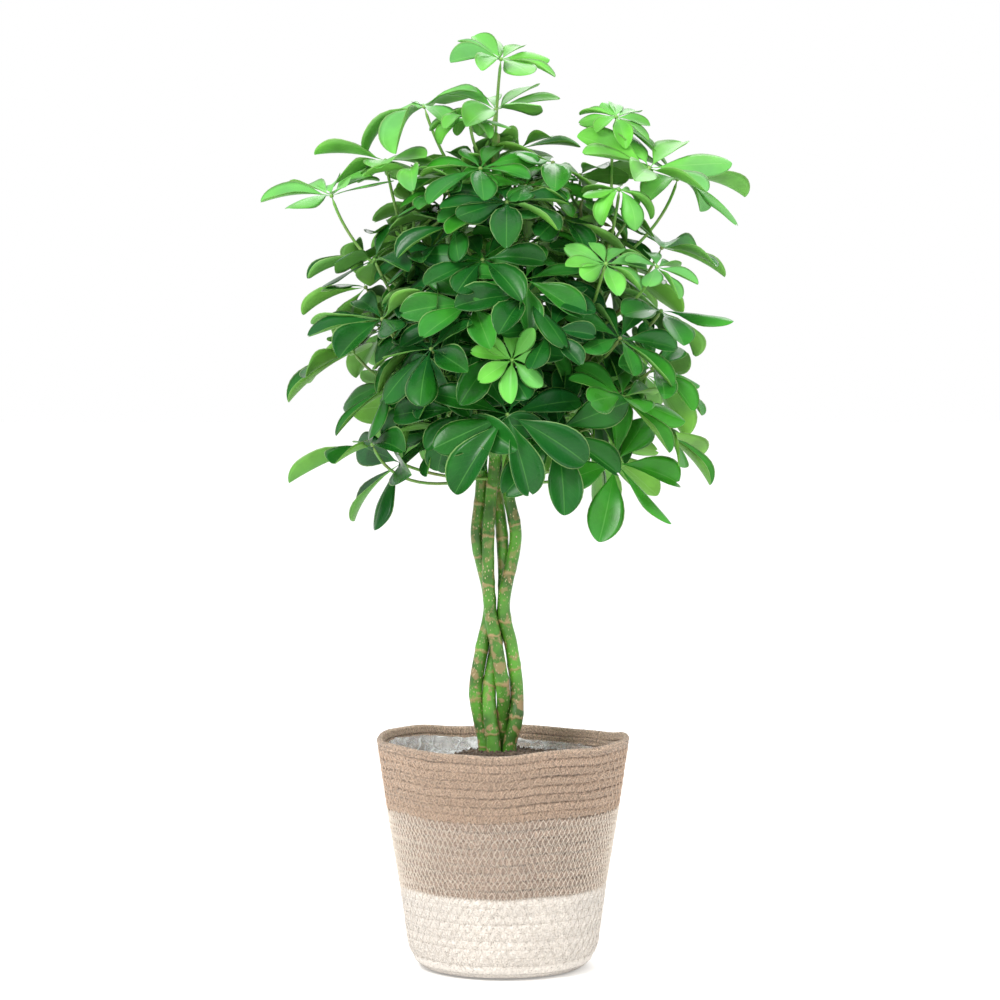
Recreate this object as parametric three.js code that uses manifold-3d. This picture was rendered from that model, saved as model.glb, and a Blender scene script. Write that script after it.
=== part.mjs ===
// A braided umbrella tree (dwarf schefflera) standing in a sewn jute basket.
// Millimetres, +Z up, +X to the right and -Y towards the viewer of its best side.
// The origin is the middle of the basket's flat base, on the floor.
//
// The basket is sewn from braid in five lengths: a base, a white band, a natural band sewn
// with white thread, a natural band sewn with natural thread, and a rim. A film liner holds
// the soil, and four plaited stems stand in the soil. Each leaf is a long stalk with a star
// of leaflets at its end. The leaves grow one after another: a leaflet that would touch what
// is already there is lifted, swung aside or kept shorter, and left out if nothing is free.
import * as THREE from "three";
import { mergeVertices } from "three/addons/utils/BufferGeometryUtils.js";
import Module from "manifold-3d";

const wasm = await Module();
wasm.setup();

// ---- driving dimensions -------------------------------------------------------------------
const GAP = 0.35; // between pieces that touch
const ROUND_SIDES = 32; // facets round the basket
const BASKET_HEIGHT = 222;
const WALL = 8; // thickness of the sewn braid
const BASE_FLAT_RADIUS = 72; // the part of the base that meets the floor
// Outer radius of the basket at each height, from the floor to the rim.
const BASKET_PROFILE = [
  [0, BASE_FLAT_RADIUS],
  [3, 79],
  [10, 87],
  [24, 92],
  [83, 100.2],
  [157, 112.4],
  [212, 120.5],
  [BASKET_HEIGHT, 121.5],
];
const WHITE_TOP = 83;
const STITCHED_TOP = 157;
const NATURAL_TOP = 212;
const BASE_THICKNESS = 7;
const LINER_THICKNESS = 1;
const LINER_TOP = 214;
const SOIL_EDGE = 195;
const SOIL_CROWN = 204;
const SOIL_CROWN_RADIUS = 34;
const SOIL_SLOPE_RADIUS = 62;

const STEM_SIDES = 6;
const STEM_STEP = 22; // length of one facet along a stem
const STEM_RADIUS = 6.9; // in the soil
const STEM_TAPER = 0.0052; // lost per millimetre of height
const SHOOT_RADIUS = 2.4; // the thinnest that a shoot gets
const STALK_RADIUS = 1.5; // of a leaf's stalk
const STALK_SIDES = 4;
const STALK_STEPS = 3;
const STALK_REACH = 92; // the length that a leaf's stalk likes to have
const STALK_RISE = 30; // how far below its leaf a stalk likes to start
const STALK_ARCH = 0.45; // share of the stalk's length that runs along the leaf's own axis
const PERCH_STEP = 13; // distance between the places on a shoot where a stalk can start
const PERCH_FLOOR = 462; // no stalk starts lower than this
const PERCH_TRIES = 14;
const HUB_RADIUS = 2.6;
const BLADE_THICKNESS = 1.1;
const BLADE_WIDTH_SHARE = 0.42; // a leaflet's width over its length
const BLADE_FOLD = 0.16; // how far the edges hang below the midrib, over the width
// How far a leaflet strays from its place in the star, in degrees.
const FAN_STRAY = 9;
const LIFT_STRAY = 17;
const BANK_STRAY = 28;

// Places along a leaflet, from its tip to the hub: share of the length, share of the half width.
const LEAFLET_STATIONS = [
  [1, 0],
  [0.7, 1],
  [0.22, 0.14],
  [0, 0],
];

// ---- the plaited stems and their shoots ----------------------------------------------------
// Each route is a list of [x, y, z]. The first runs from the soil to a tip; the others fork off.
const STEMS = {
  stem_leader: [
    [[-2, 10, 117], [-2, 9, 210], [0, 3, 235], [0, -6, 264], [-6, -9, 305], [-12.5, -6.5, 345],
      [-14, -8, 412], [-11, -6, 455], [-8, -6, 485], [-8, -4, 565], [-7, -2, 685], [-7, 0, 797]],
    [[-8, -6, 485], [-12, -38, 545], [-14, -58, 605], [-10, -56, 655]],
  ],
  stem_left: [
    [[-26, 6, 117], [-17, 5, 210], [-22, 6, 235], [-26, 4, 264], [-20, 0, 305], [-12.5, 6.5, 345],
      [-25, 0, 412], [-21, 2, 455], [-22, 1, 485], [-58, -14, 550], [-80, -12, 615], [-90, -6, 695]],
    [[-22, 1, 485], [-66, 20, 545], [-92, 44, 605]],
  ],
  stem_right: [
    [[14, -6, 117], [6, -4, 210], [12, -5, 235], [13, 1, 264], [8, -1, 305], [0.5, -6.5, 345],
      [12, -2, 412], [5, -3, 455], [8, -2, 485], [50, -16, 550], [80, -14, 615], [104, -6, 705]],
    [[8, -2, 485], [58, 18, 545], [88, 42, 605]],
  ],
  stem_back: [
    [[-12, -14, 117], [-9, -8, 210], [-12, -5, 235], [-13, 0, 264], [-7, 5, 305], [0.5, 6.5, 345],
      [-1, 4, 412], [-6, 8, 455], [-6, 8, 485], [-8, 40, 535], [-6, 62, 605], [-2, 70, 680]],
  ],
};

// ---- the leaves ------------------------------------------------------------------------------
// [x, y, z of the hub, facing: the compass angle the leaf leans to (0 is +X, 270 is the viewer),
//  tilt from upright, leaflet length, leaflets, roll of the star, droop: how far the tips bend down]
const LEAVES = {
  crown: [
    [-2, -6, 863, 285, 26, 62, 9, 10, 22],
    [-7, 2, 816, 300, 12, 78, 7, 5, 30],
    [-75, 14, 820, 205, 18, 78, 7, 28, 42],
    [-31, -24, 805, 270, 14, 44, 6, 30, 78],
    [-112, 12, 769, 170, 10, 74, 8, 0, 24],
    [-86, -22, 759, 250, 12, 64, 7, 20, 30],
    [-162, -12, 734, 215, 20, 76, 7, 20, 34],
    [107, -2, 809, 285, 30, 44, 9, 0, 26],
    [137, -30, 759, 290, 32, 84, 7, 25, 14],
    [166, 12, 751, 20, 16, 88, 7, 12, 36],
    [74, 40, 757, 120, 8, 88, 7, 10, 26],
    [17, 44, 783, 60, 12, 62, 6, 0, 24],
    [108, -58, 737, 290, 18, 48, 7, 14, 60],
    [21, -44, 741, 285, 24, 62, 6, 30, 20],
  ],
  front: [
    [-9, -64, 713, 262, 34, 68, 7, 26, 30],
    [20, -98, 653, 275, 48, 70, 7, 0, 14],
    [-28, -104, 631, 258, 52, 72, 7, 24, 16],
    [-66, -102, 589, 246, 60, 72, 8, 10, 20],
    [42, -118, 605, 276, 46, 58, 6, 30, 18],
    [8, -126, 579, 268, 74, 44, 8, 0, 26],
    [4, -122, 529, 268, 62, 90, 8, 18, 26],
    [48, -100, 515, 296, 74, 86, 7, 0, 30],
    [-38, -96, 533, 248, 76, 82, 7, 12, 30],
    [94, -100, 667, 290, 40, 50, 8, 0, 20],
  ],
  left: [
    [-112, -72, 617, 222, 34, 78, 8, 14, 20],
    [-121, -30, 673, 192, 24, 76, 7, 0, 26],
    [-122, -58, 500, 192, 22, 90, 7, 0, 24],
    [-96, -30, 482, 200, 66, 88, 6, 20, 24],
    [-106, -48, 557, 214, 44, 76, 7, 26, 26],
    [-143, 12, 587, 176, 36, 80, 7, 0, 26],
    [-132, 34, 649, 160, 30, 76, 7, 20, 26],
  ],
  right: [
    [142, -78, 665, 306, 36, 48, 7, 0, 24],
    [150, -12, 685, 350, 26, 78, 7, 16, 24],
    [148, -40, 625, 338, 32, 78, 7, 0, 26],
    [108, -76, 599, 308, 44, 68, 7, 26, 20],
    [139, -58, 571, 322, 46, 66, 7, 8, 24],
    [110, -92, 545, 304, 40, 74, 8, 18, 18],
    [144, -18, 513, 350, 40, 86, 6, 0, 28],
    [104, -66, 483, 308, 66, 86, 7, 20, 28],
  ],
  back: [
    [-64, 105, 709, 116, 24, 76, 7, 0, 28],
    [37, 112, 703, 78, 26, 76, 8, 10, 28],
    [114, 85, 669, 38, 32, 78, 7, 20, 26],
    [-114, 105, 611, 140, 40, 78, 8, 0, 26],
    [-31, 149, 627, 100, 42, 76, 7, 20, 24],
    [66, 142, 609, 64, 44, 80, 8, 8, 26],
    [139, 71, 565, 28, 50, 82, 7, 0, 26],
    [-77, 127, 537, 126, 54, 84, 7, 16, 28],
    [15, 137, 531, 86, 58, 84, 8, 0, 28],
    [92, 100, 495, 46, 62, 84, 7, 22, 28],
  ],
};

// What a leaflet tries, in order: [lift and swing in degrees, share of its length].
const LEAFLET_POSES = [
  [0, 0, 1], [8, 0, 1], [-8, 0, 1], [0, 6, 1], [0, -6, 1], [16, 0, 1], [-16, 0, 1],
  [8, 8, 0.95], [8, -8, 0.95], [-8, 8, 0.95], [-8, -8, 0.95], [24, 0, 0.92], [-24, 0, 0.92],
  [0, 0, 0.84], [16, 12, 0.86], [16, -12, 0.86], [-16, 12, 0.86], [-16, -12, 0.86],
  [32, 0, 0.84], [-32, 0, 0.84], [0, 12, 0.74], [0, -12, 0.74], [40, 0, 0.76], [-40, 0, 0.76],
];

const MATERIALS = {
  white_braid: { color: 0xe9e4da, roughness: 0.9 },
  stitched_braid: { color: 0xc4ad96, roughness: 0.9 },
  natural_braid: { color: 0xb99b7d, roughness: 0.9 },
  film: { color: 0xdfe5e8, roughness: 0.15, transparent: true, opacity: 0.4 },
  soil: { color: 0x4a3a2e, roughness: 1 },
  bark: { color: 0x5f9c3c, roughness: 0.5 },
  old_leaf: { color: 0x1f6b2a, roughness: 0.3 },
  young_leaf: { color: 0x63c04a, roughness: 0.35 },
};
const DEG = Math.PI / 180;

// ---- small helpers -----------------------------------------------------------------------------
// An even spread of shares from 0 to 1, so that no two neighbours are alike.
const spread = (k) => (k * 0.618034) % 1;

// The same from -1 to 1.
const stray = (k) => 2 * spread(k) - 1;

const vector = (p) => new THREE.Vector3(...p);

// A closed three.js geometry as a manifold-3d solid.
function solidOf(geometry) {
  const bare = geometry.clone();
  bare.deleteAttribute("normal");
  bare.deleteAttribute("uv");
  const merged = mergeVertices(bare, 1e-4);
  return new wasm.Manifold(new wasm.Mesh({
    numProp: 3,
    vertProperties: merged.attributes.position.array,
    triVerts: new Uint32Array(merged.index.array),
  }));
}

// A manifold-3d solid as a three.js geometry.
function geometryOf(solid) {
  const mesh = solid.getMesh();
  const geometry = new THREE.BufferGeometry();
  geometry.setAttribute("position", new THREE.BufferAttribute(mesh.vertProperties, 3));
  geometry.setIndex(new THREE.BufferAttribute(mesh.triVerts, 1));
  geometry.computeVertexNormals();
  return geometry;
}

// Moves each vertex of a geometry to where place(vertex) says.
function reshape(geometry, place) {
  const positions = geometry.attributes.position;
  for (let i = 0; i < positions.count; i++) {
    const moved = place(new THREE.Vector3().fromBufferAttribute(positions, i));
    positions.setXYZ(i, moved.x, moved.y, moved.z);
  }
  return geometry;
}

// A round rod bent along a curve. radiusAt takes the share of the curve's length.
function bentRod(curve, radiusAt, sides, steps, reference) {
  const rod = new THREE.CylinderGeometry(1, 1, 1, sides, steps);
  return reshape(rod, (v) => {
    const share = Math.min(1, Math.max(0, v.y + 0.5));
    const tangent = curve.getTangent(share);
    const across = tangent.clone().cross(reference).normalize();
    const other = across.clone().cross(tangent);
    const radius = radiusAt(share);
    return curve.getPoint(share).addScaledVector(across, v.x * radius).addScaledVector(other, v.z * radius);
  });
}

function lathe(profile) {
  const points = profile.map(([radius, height]) => new THREE.Vector2(radius, height));
  const geometry = new THREE.LatheGeometry(points, ROUND_SIDES);
  return geometry.rotateX(Math.PI / 2);
}

const outerBox = (solid) => solid.boundingBox();

function boxesMeet(a, b) {
  return [0, 1, 2].every((i) => a.min[i] < b.max[i] && b.min[i] < a.max[i]);
}

// The biggest body of a solid that a cut may have left in several.
function mainBody(solid) {
  return solid.decompose().sort((a, b) => b.volume() - a.volume())[0];
}

const group = new THREE.Group();

function addNode(name, geometry, material) {
  const mesh = new THREE.Mesh(geometry, new THREE.MeshStandardMaterial(MATERIALS[material]));
  mesh.name = name;
  group.add(mesh);
}

// ---- basket, liner and soil ----------------------------------------------------------------------
function outerRadius(height) {
  const above = Math.max(1, BASKET_PROFILE.findIndex(([z]) => z >= height));
  const [z0, r0] = BASKET_PROFILE[above - 1];
  const [z1, r1] = BASKET_PROFILE[above];
  return r0 + ((r1 - r0) * (height - z0)) / (z1 - z0);
}

const innerRadius = (height) => outerRadius(height) - WALL;

// One band of the basket's wall, from the height low to the height high.
function band(low, high) {
  const heights = BASKET_PROFILE.map(([z]) => z).filter((z) => z > low && z < high);
  const outer = [low, ...heights, high].map((z) => [outerRadius(z), z]);
  const inner = [high, low].map((z) => [outerRadius(z) - WALL, z]);
  return lathe([...outer, ...inner, outer[0]]);
}

function makeBasket() {
  const baseEdge = BASE_FLAT_RADIUS - GAP;
  addNode("basket_base", lathe([
    [0, 0], [baseEdge - 1, 0], [baseEdge, 1], [baseEdge, BASE_THICKNESS], [0, BASE_THICKNESS],
  ]), "white_braid");
  const turnUp = BASKET_PROFILE.filter(([z]) => z < WHITE_TOP - GAP).map(([z, r]) => [r, z]);
  addNode("basket_white_band", lathe([
    [BASE_FLAT_RADIUS, 0],
    ...turnUp.slice(1),
    [outerRadius(WHITE_TOP - GAP), WHITE_TOP - GAP],
    [innerRadius(WHITE_TOP - GAP), WHITE_TOP - GAP],
    [innerRadius(24), 24],
    [BASE_FLAT_RADIUS + 5, BASE_THICKNESS],
    [BASE_FLAT_RADIUS, BASE_THICKNESS],
    [BASE_FLAT_RADIUS, 0],
  ]), "white_braid");
  addNode("basket_stitched_band", band(WHITE_TOP, STITCHED_TOP - GAP), "stitched_braid");
  addNode("basket_natural_band", band(STITCHED_TOP, NATURAL_TOP - GAP), "natural_braid");
  addNode("basket_rim", band(NATURAL_TOP, BASKET_HEIGHT), "natural_braid");
}

// Radii of the film's outside, and of the soil inside it, at the heights where the wall bends.
function insideProfile(offset, top) {
  const low = BASE_THICKNESS + offset;
  const heights = [24, WHITE_TOP, STITCHED_TOP].filter((z) => z < top);
  return [
    [0, low],
    [BASE_FLAT_RADIUS + 4 - offset, low],
    ...[...heights, top].map((z) => [innerRadius(z) - offset, z]),
  ];
}

function makeLiner() {
  const outside = insideProfile(GAP, LINER_TOP);
  const inside = insideProfile(GAP + LINER_THICKNESS, LINER_TOP).reverse();
  addNode("film_liner", lathe([...outside, ...inside]), "film");
}

function soilSolid() {
  const wall = insideProfile(2 * GAP + LINER_THICKNESS, SOIL_EDGE);
  const mound = [[SOIL_SLOPE_RADIUS, SOIL_EDGE], [SOIL_CROWN_RADIUS, SOIL_CROWN], [0, SOIL_CROWN]];
  return solidOf(lathe([...wall, ...mound]));
}

// ---- stems -----------------------------------------------------------------------------------------
const stemRadius = (height) => Math.max(SHOOT_RADIUS, STEM_RADIUS - STEM_TAPER * Math.max(0, height - 207));
const SHOOTS = Object.values(STEMS).flat().map((points) => new THREE.CatmullRomCurve3(points.map(vector)));

function routeSolid(points, extra) {
  const curve = new THREE.CatmullRomCurve3(points.map(vector));
  const steps = Math.round(curve.getLength() / STEM_STEP);
  const radiusAt = (share) => stemRadius(curve.getPoint(share).z) + extra;
  return solidOf(bentRod(curve, radiusAt, STEM_SIDES, steps, new THREE.Vector3(1, 0, 0)));
}

function stemSolid(routes, extra) {
  return routes.map((points) => routeSolid(points, extra)).reduce((all, one) => all.add(one));
}

function makeStems() {
  const made = [];
  let room = null; // what the stems before this one take up, with the gap
  for (const [name, routes] of Object.entries(STEMS)) {
    const whole = stemSolid(routes, 0);
    const solid = room ? mainBody(whole.subtract(room)) : whole;
    made.push({ name, solid });
    const padded = stemSolid(routes, GAP);
    room = room ? room.add(padded) : padded;
    addNode(name, geometryOf(solid), "bark");
  }
  return { stems: made, room };
}

// Where a leaf's stalk can start: points along every shoot, above the bare trunk.
function perches() {
  const found = [];
  for (const shoot of SHOOTS) {
    const count = Math.floor(shoot.getLength() / PERCH_STEP);
    for (let i = 1; i <= count; i++) {
      const point = shoot.getPoint(i / count);
      if (point.z > PERCH_FLOOR) found.push(point);
    }
  }
  return found;
}

// ---- leaves ------------------------------------------------------------------------------------------
// The leaf's own axes: up points out of the top of the star, out is the way it leans.
function leafAxes(facing, tilt) {
  const lean = new THREE.Vector3(Math.cos(facing * DEG), Math.sin(facing * DEG), 0);
  const up = lean.clone().multiplyScalar(Math.sin(tilt * DEG)).setZ(Math.cos(tilt * DEG));
  const out = lean.clone().multiplyScalar(Math.cos(tilt * DEG)).setZ(-Math.sin(tilt * DEG));
  return { up, out, side: up.clone().cross(out) };
}

function stalkCurve(start, hub, up) {
  const elbow = hub.clone().addScaledVector(up, -STALK_ARCH * start.distanceTo(hub));
  return new THREE.QuadraticBezierCurve3(start, elbow, hub);
}

function stalkSolid(curve, side, extra) {
  return solidOf(bentRod(curve, () => STALK_RADIUS + extra, STALK_SIDES, STALK_STEPS, side));
}

// One leaflet as a folded blade on a circular arc that starts at the hub and bends down.
function leafletSolid(leaf, index, pose, extra) {
  const [lift, swing, share] = pose;
  const { axes, hub } = leaf;
  const seed = leaf.number * 11 + index;
  const fan = leaf.roll + swing + FAN_STRAY * stray(seed * 5 + 1);
  const angle = (fan + (360 * index) / leaf.leaflets) * DEG;
  const size = 0.93 + 0.08 * Math.cos(angle) - 0.18 * spread(seed * 7);
  const length = leaf.length * size * share;
  const along = axes.out.clone().multiplyScalar(Math.cos(angle)).addScaledVector(axes.side, Math.sin(angle));
  const first = (12 + lift + LIFT_STRAY * stray(seed * 13 + 4)) * DEG;
  const bend = -leaf.droop * (0.3 + 1.4 * spread(seed * 3)) * DEG;
  const bank = BANK_STRAY * stray(seed * 17 + 2) * DEG;
  const level = along.clone().cross(axes.up);
  const halfWidth = (leaf.length * size * BLADE_WIDTH_SHARE) / 2;
  const blade = new THREE.SphereGeometry(1, 4, 3);
  return solidOf(reshape(blade, (v) => {
    const ring = Math.round((3 * Math.acos(Math.min(1, Math.max(-1, v.y)))) / Math.PI);
    const [place, width] = LEAFLET_STATIONS[ring];
    const turned = first + bend * place;
    const reach = (length * (Math.sin(turned) - Math.sin(first))) / bend;
    const rise = (length * (Math.cos(first) - Math.cos(turned))) / bend;
    const point = hub.clone().addScaledVector(along, reach).addScaledVector(axes.up, rise);
    if (width === 0) return point;
    const unit = Math.hypot(v.x, v.z);
    const sideways = (v.x / unit) * (halfWidth * width + extra);
    const thick = (v.z / unit) * (BLADE_THICKNESS / 2 + extra);
    const fold = -Math.abs(sideways) * 2 * BLADE_FOLD;
    const plumb = axes.up.clone().multiplyScalar(Math.cos(turned)).addScaledVector(along, -Math.sin(turned));
    const across = level.clone().multiplyScalar(Math.cos(bank)).addScaledVector(plumb, Math.sin(bank));
    const normal = plumb.clone().multiplyScalar(Math.cos(bank)).addScaledVector(level, -Math.sin(bank));
    return point.addScaledVector(across, sideways).addScaledVector(normal, thick + fold);
  }));
}

function readLeaves() {
  const leaves = [];
  for (const [zone, rows] of Object.entries(LEAVES)) {
    rows.forEach((row, i) => {
      const [x, y, z, facing, tilt, length, leaflets, roll, droop] = row;
      const knob = new THREE.SphereGeometry(HUB_RADIUS, 5, 3).translate(x, y, z);
      leaves.push({
        knob: solidOf(knob),
        name: `leaf_${zone}_${i + 1}`,
        number: leaves.length,
        young: droop > 70 || length < 55 || (zone === "crown" && i < 10),
        hub: new THREE.Vector3(x, y, z),
        axes: leafAxes(facing, tilt),
        length, leaflets, roll, droop,
      });
    });
  }
  return leaves;
}

// Gives each leaf a stalk from a free perch, clear of the stems and of the other stalks.
function growStalks(leaves, stems) {
  const free = perches();
  const placed = leaves.map((leaf) => ({ solid: leaf.knob, box: outerBox(leaf.knob), leaf }));
  for (const leaf of leaves) {
    const cost = (p) =>
      Math.abs(p.distanceTo(leaf.hub) - STALK_REACH) + 2 * Math.max(0, p.z - leaf.hub.z + STALK_RISE);
    const choices = free.slice().sort((a, b) => cost(a) - cost(b)).slice(0, PERCH_TRIES);
    for (const perch of choices) {
      const curve = stalkCurve(perch, leaf.hub, leaf.axes.up);
      const whole = stalkSolid(curve, leaf.axes.side, 0);
      const padded = stalkSolid(curve, leaf.axes.side, GAP);
      const cut = mainBody(whole.subtract(stems.room));
      const box = outerBox(padded);
      const hits = placed.some((other) => other.leaf !== leaf && boxesMeet(box, other.box)
        && other.solid.intersect(padded).volume() > 0);
      if (hits || cut.volume() < 0.75 * whole.volume()) continue;
      leaf.stalk = cut;
      placed.push({ solid: cut, box: outerBox(cut), leaf });
      free.splice(free.indexOf(perch), 1);
      break;
    }
    if (!leaf.stalk) throw new Error(`${leaf.name} found no free perch`);
  }
  return placed;
}

function makeLeaves(stems) {
  const leaves = readLeaves();
  const placed = growStalks(leaves, stems);
  stems.stems.forEach(({ solid }) => placed.push({ solid, box: outerBox(solid) }));
  for (const leaf of leaves) {
    let solid = leaf.stalk.add(leaf.knob);
    for (let i = 0; i < leaf.leaflets; i++) {
      const pose = LEAFLET_POSES.find((choice) => {
        const padded = leafletSolid(leaf, i, choice, GAP);
        const box = outerBox(padded);
        return !placed.some((other) => other.leaf !== leaf && boxesMeet(box, other.box)
          && other.solid.intersect(padded).volume() > 0);
      });
      if (!pose) continue;
      const blade = leafletSolid(leaf, i, pose, 0);
      placed.push({ solid: blade, box: outerBox(blade), leaf });
      solid = solid.add(blade);
    }
    addNode(leaf.name, geometryOf(solid), leaf.young ? "young_leaf" : "old_leaf");
  }
}

makeBasket();
makeLiner();
const stems = makeStems();
addNode("soil", geometryOf(mainBody(soilSolid().subtract(stems.room))), "soil");
makeLeaves(stems);

export default group;
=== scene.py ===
# A braided umbrella tree in a sewn jute basket. Metres, +Z up, -Y towards the viewer.
# The basket is laid row by row from a three-strand braid and sewn with a zigzag thread.
# Every leaf grows a star of folded leaflets at the end of a stalk.
from math import cos, exp, floor, hypot, pi, radians, sin

import bmesh
import bpy
from bpy.props import FloatProperty, FloatVectorProperty, IntProperty, PointerProperty
from mathutils import Matrix, Vector, kdtree, noise


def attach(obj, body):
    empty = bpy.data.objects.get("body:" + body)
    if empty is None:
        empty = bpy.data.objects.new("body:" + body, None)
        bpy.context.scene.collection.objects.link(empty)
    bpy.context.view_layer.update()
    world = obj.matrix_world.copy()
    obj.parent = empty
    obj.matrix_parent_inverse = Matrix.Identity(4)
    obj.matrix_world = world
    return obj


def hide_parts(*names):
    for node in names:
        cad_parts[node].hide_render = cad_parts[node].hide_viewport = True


bl_info = {
    "name": "Potted Umbrella Tree",
    "version": (1, 0, 0),
    "blender": (4, 5, 0),
    "location": "View3D > Sidebar > Umbrella Tree",
    "description": "Builds a braided umbrella tree standing in a sewn jute basket",
    "category": "Add Mesh",
}

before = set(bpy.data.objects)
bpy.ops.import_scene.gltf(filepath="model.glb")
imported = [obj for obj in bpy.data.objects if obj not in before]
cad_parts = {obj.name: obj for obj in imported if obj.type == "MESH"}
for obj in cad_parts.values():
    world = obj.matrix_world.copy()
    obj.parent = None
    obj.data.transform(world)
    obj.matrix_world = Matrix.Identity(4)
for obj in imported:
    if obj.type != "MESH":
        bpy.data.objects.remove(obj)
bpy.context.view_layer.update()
MM = 0.001
GOLDEN = 0.618034
NOISE_SEED = 1

# Lengths below are in millimetres, unless a name says otherwise.
# Middle of the braid on the way from the centre of the base, round the corner, up to the rim.
BRAID_PATH = [
    (0, 3.9), (70, 3.9), (77, 5.6), (83.2, 11), (88.2, 24), (96.4, 83), (108.6, 157), (116.7, 212),
    (117.8, 218.4),
]
BASE_RADIUS = 72
BASE_HEIGHT = 10
SEWN_FROM = 12
WHITE_TOP = 83
STITCHED_TOP = 157
THREAD_PITCH = 10.5
STRANDS = 3

SOIL_TOP = 206
SOIL_STEP = 12
SOIL_MOUND = 48
SOIL_SLOPE = 8
SOIL_RADIUS = 108
CLUMPS = 1100
FILM_RADIUS = 112.6
FILM_FLOOR = 196.5

# A stem is as thick as this at the soil and thins by a share of its height above it.
STEM_RADIUS = 6.9
STEM_THINNING = 0.0052
STEM_START = 207
SHOOT_TIP_RADIUS = 2.4
SCAR_PITCH = 47
PERCH_PITCH = 13
LOWEST_PERCH = 462

# A leaflet's width and stalked foot are shares of its length.
LEAFLET_WIDTH = 0.42
LEAFLET_FOOT = 0.17
FOOT_RADIUS = 0.95
HUB_RADIUS = 2.1
# The solid leaf's stalk, and how near its leaflets' tips have to be.
SOLID_STALK_RADIUS = 1.5
TIP_MATCH = 0.3

# Each stem's routes from the soil to a tip; the second one forks off the first.
STEMS = {
    "stem_leader": [
        [[-2, 10, 117], [-2, 9, 210], [0, 3, 235], [0, -6, 264], [-6, -9, 305], [-12.5, -6.5, 345],
         [-14, -8, 412], [-11, -6, 455], [-8, -6, 485], [-8, -4, 565], [-7, -2, 685], [-7, 0, 797]],
        [[-8, -6, 485], [-12, -38, 545], [-14, -58, 605], [-10, -56, 655]],
    ],
    "stem_left": [
        [[-26, 6, 117], [-17, 5, 210], [-22, 6, 235], [-26, 4, 264], [-20, 0, 305], [-12.5, 6.5, 345],
         [-25, 0, 412], [-21, 2, 455], [-22, 1, 485], [-58, -14, 550], [-80, -12, 615], [-90, -6, 695]],
        [[-22, 1, 485], [-66, 20, 545], [-92, 44, 605]],
    ],
    "stem_right": [
        [[14, -6, 117], [6, -4, 210], [12, -5, 235], [13, 1, 264], [8, -1, 305], [0.5, -6.5, 345],
         [12, -2, 412], [5, -3, 455], [8, -2, 485], [50, -16, 550], [80, -14, 615], [104, -6, 705]],
        [[8, -2, 485], [58, 18, 545], [88, 42, 605]],
    ],
    "stem_back": [
        [[-12, -14, 117], [-9, -8, 210], [-12, -5, 235], [-13, 0, 264], [-7, 5, 305], [0.5, 6.5, 345],
         [-1, 4, 412], [-6, 8, 455], [-6, 8, 485], [-8, 40, 535], [-6, 62, 605], [-2, 70, 680]],
    ],
}

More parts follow.
